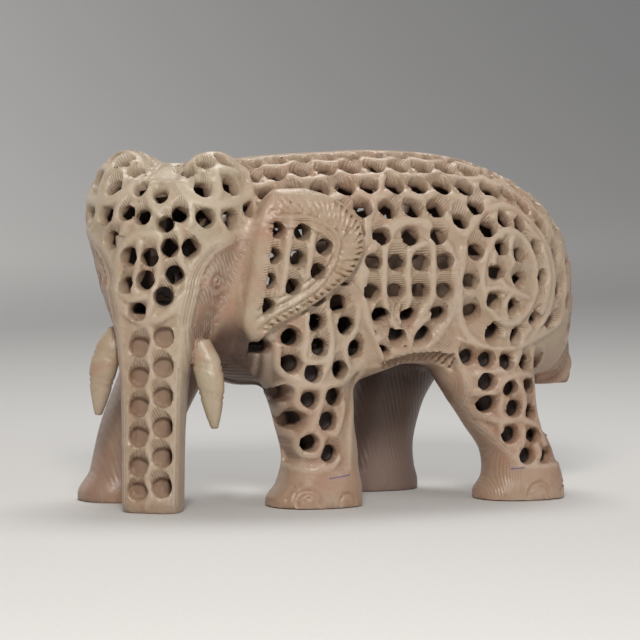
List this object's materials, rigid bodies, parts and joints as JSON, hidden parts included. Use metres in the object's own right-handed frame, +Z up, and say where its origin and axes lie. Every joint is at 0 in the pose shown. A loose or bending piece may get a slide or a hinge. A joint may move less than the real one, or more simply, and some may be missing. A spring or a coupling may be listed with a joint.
{
  "type": "soapstone elephant sculpture",
  "caption": "Standing elephant carved from a single block of soapstone, with a hollow, openwork body and head, a small calf left inside, and broad flat feet that it stands on.",
  "frame": {"origin": "on the ground under the middle of the carving's bounding box", "axes": "+Z up, -X the way the elephant stands facing, -Y its left side"},
  "size_m": [0.1618, 0.067, 0.1055],
  "materials": {
    "soapstone": "softly polished, cream to pinkish brown, dusty brown inside the openwork"
  },
  "bodies": {
    "root": {"carved_elephant": "soapstone"}
  },
  "joints": []
}
